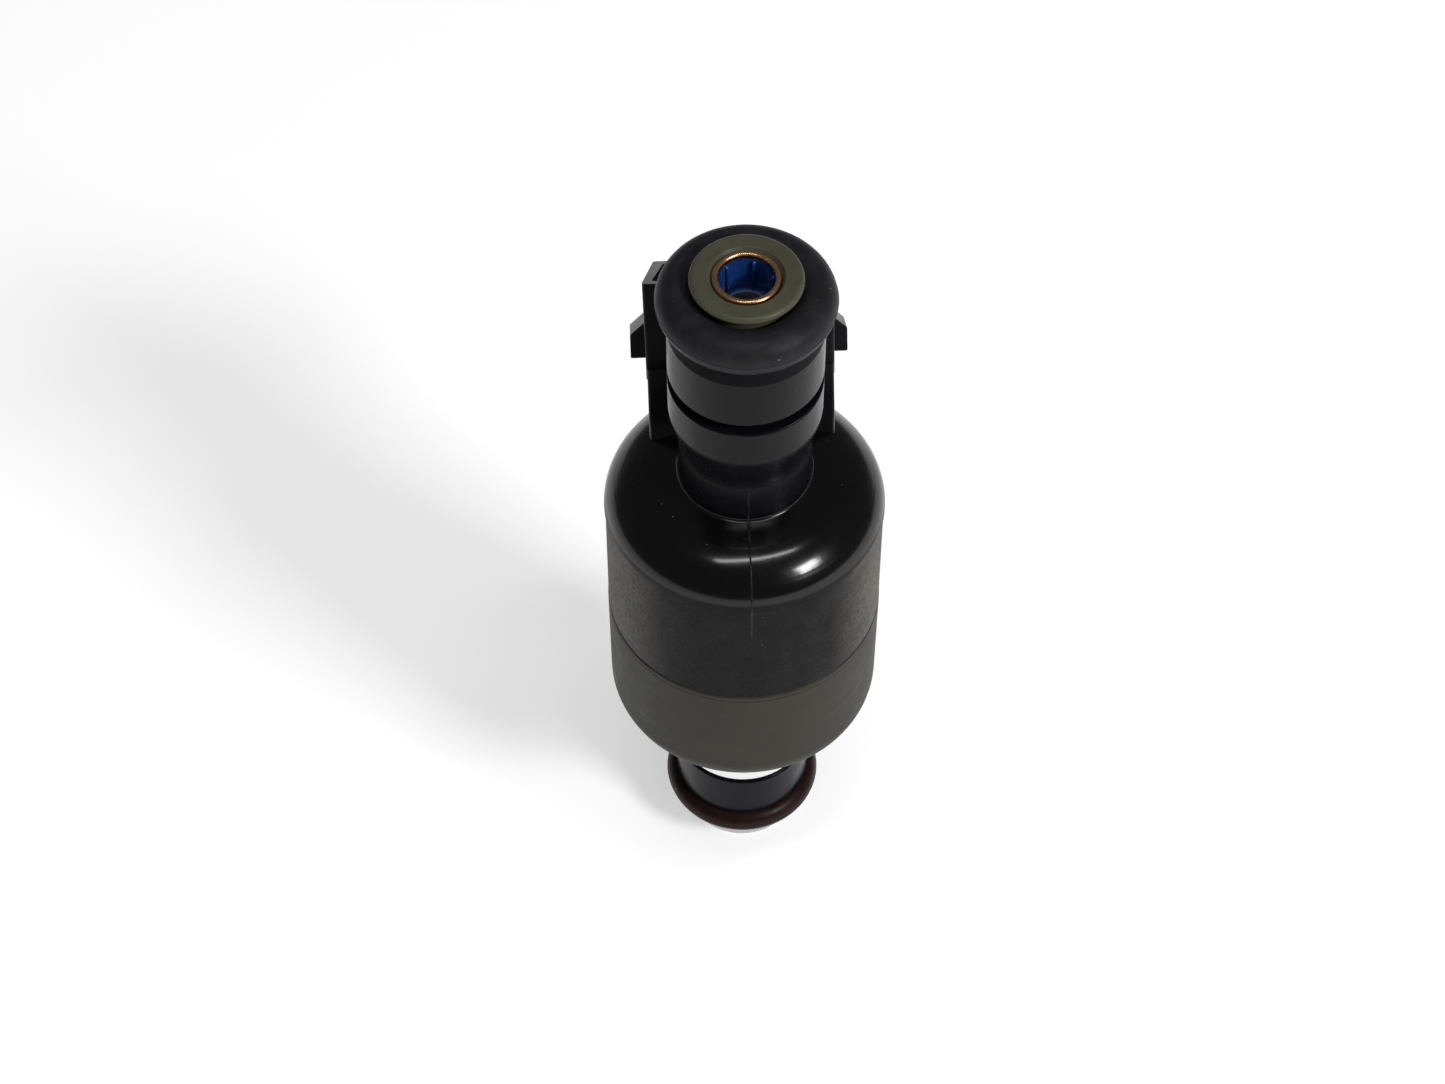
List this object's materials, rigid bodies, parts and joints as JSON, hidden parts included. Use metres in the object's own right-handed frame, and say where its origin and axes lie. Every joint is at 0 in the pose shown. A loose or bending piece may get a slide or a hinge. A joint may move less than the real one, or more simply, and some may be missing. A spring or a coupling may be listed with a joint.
{
  "type": "fuel injector",
  "caption": "Top-feed solenoid fuel injector with sealed inlet, steel coil can, moulded body, angled two-blade connector and spring-shut ball valve.",
  "frame": {"origin": "on the injector's axis, at the nozzle's bottom face", "axes": "+Z along the injector's axis towards the fuel inlet, +Y towards the electrical connector"},
  "size_m": [0.0242, 0.0302, 0.0758],
  "materials": {
    "black_nylon": "glass-filled black nylon, semi-matt walls and glossy shoulder",
    "black_nylon_gloss": "smooth glossy black nylon",
    "olive_can": "olive-drab zinc dichromate over fine turned steel",
    "olive_tube": "olive-drab zinc dichromate, satin",
    "bright_steel": "bright turned stainless steel",
    "bright_steel_inner": "fine ground stainless steel",
    "chrome_ball": "lapped bearing steel",
    "spring_steel": "drawn stainless wire",
    "brass_spacer": "turned brass",
    "copper_winding": "enamelled copper wire",
    "copper_ring": "worn copper-coloured brass",
    "tinned_blade": "tin-plated brass",
    "bobbin_nylon": "natural glass-filled nylon",
    "blue_filter": "translucent blue moulding",
    "filter_mesh": "woven nylon mesh",
    "black_rubber": "satin black rubber with fine dust",
    "brown_rubber": "dark brown fluoro-rubber",
    "inner_rubber": "plain rubber"
  },
  "bodies": {
    "injector": {"spray_housing": "bright_steel", "nozzle_sleeve": "black_nylon_gloss", "lower_o_ring": "brown_rubber", "spray_tip": "bright_steel_inner", "director_plate": "bright_steel_inner", "valve_seat": "bright_steel_inner", "seat_seal": "inner_rubber", "ball_guide": "bright_steel_inner", "core_spring": "spring_steel", "adjusting_sleeve": "bright_steel_inner", "solenoid_housing": "olive_can", "housing_seal": "inner_rubber", "lower_washer": "bright_steel_inner", "spacer_ring": "brass_spacer", "pole_piece": "bright_steel_inner", "lower_coil_seal": "inner_rubber", "upper_coil_seal": "inner_rubber", "bobbin": "bobbin_nylon", "coil_winding": "copper_winding", "flux_washer": "bright_steel_inner", "coil_tail_left": "copper_winding", "coil_tail_right": "copper_winding", "terminal_left": "tinned_blade", "terminal_right": "tinned_blade", "overmould_body": "black_nylon", "inlet_tube": "olive_tube", "filter_ring": "copper_ring", "filter_frame": "blue_filter", "filter_mesh": "filter_mesh", "upper_o_ring": "black_rubber"},
    "valve": {"armature": "bright_steel_inner", "valve_ball": "chrome_ball"}
  },
  "joints": [
    {"name": "valve_lift", "type": "slide", "parent": "injector", "child": "valve", "axis": [0, 0, 1], "range_m": [0, 0.0001], "stiffness_N_per_m": 3000, "deforming": ["core_spring"]}
  ]
}
